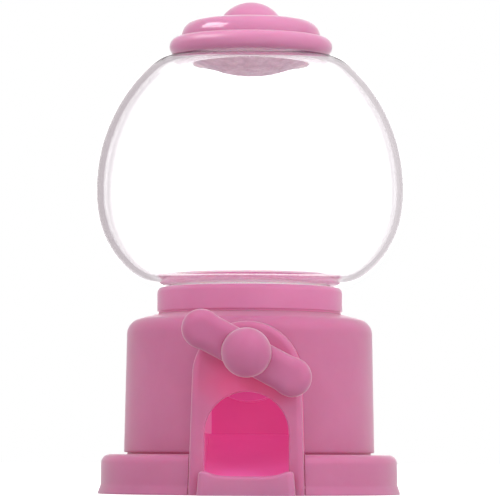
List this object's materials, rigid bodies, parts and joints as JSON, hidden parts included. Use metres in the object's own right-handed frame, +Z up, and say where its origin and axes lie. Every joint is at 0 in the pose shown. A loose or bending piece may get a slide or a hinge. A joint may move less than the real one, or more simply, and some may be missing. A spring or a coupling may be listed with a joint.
{
  "type": "gumball machine",
  "caption": "Small hand-turned sweet dispenser: clear globe with a lift-off lid on a round stepped base, a two-winged handle and an arched outlet.",
  "frame": {"origin": "centre of the base's underside, on the surface the machine stands on, under the globe's axis", "axes": "+Z up through the globe and lid, -Y towards the front with the handle and outlet, +X to the right of someone who faces the front"},
  "size_m": [0.0816, 0.0931, 0.1304],
  "materials": {
    "pink_plastic": "glossy, slightly translucent moulding",
    "hot_pink_plastic": "glossy, translucent moulding",
    "pale_plastic": "satin moulding",
    "clear_plastic": "clear, polished",
    "frosted_plastic": "fine frosted grain",
    "steel": "plain bright steel",
    "white_plastic": "plain moulding"
  },
  "bodies": {
    "base": {"base_plate": "pink_plastic", "base_screws": "steel", "base_flange": "pink_plastic", "body_shell": "pink_plastic", "front_housing": "pink_plastic", "outlet_tray": "pink_plastic", "candy_chute": "hot_pink_plastic", "globe_collar": "pink_plastic", "collar_screws": "steel", "hopper": "pink_plastic", "drum_housing": "hot_pink_plastic", "housing_screws": "steel", "drum_cover": "hot_pink_plastic", "cover_screws": "steel", "globe": "clear_plastic"},
    "rotor": {"dispensing_drum": "pale_plastic", "drive_shaft": "steel", "thrust_washer": "white_plastic", "handle": "pink_plastic", "handle_screw": "steel", "hub_cap": "pink_plastic"},
    "lid": {"lid_cap": "pink_plastic", "lid_knob": "pink_plastic", "lid_plug": "frosted_plastic"}
  },
  "joints": [
    {"name": "handle_turn", "type": "hinge", "parent": "base", "child": "rotor", "pos_m": [0, 0, 0.036], "axis": [0, 1, 0], "continuous": true},
    {"name": "lid_lift", "type": "slide", "parent": "base", "child": "lid", "axis": [0, 0, 1], "range_m": [0, 0.03]}
  ]
}
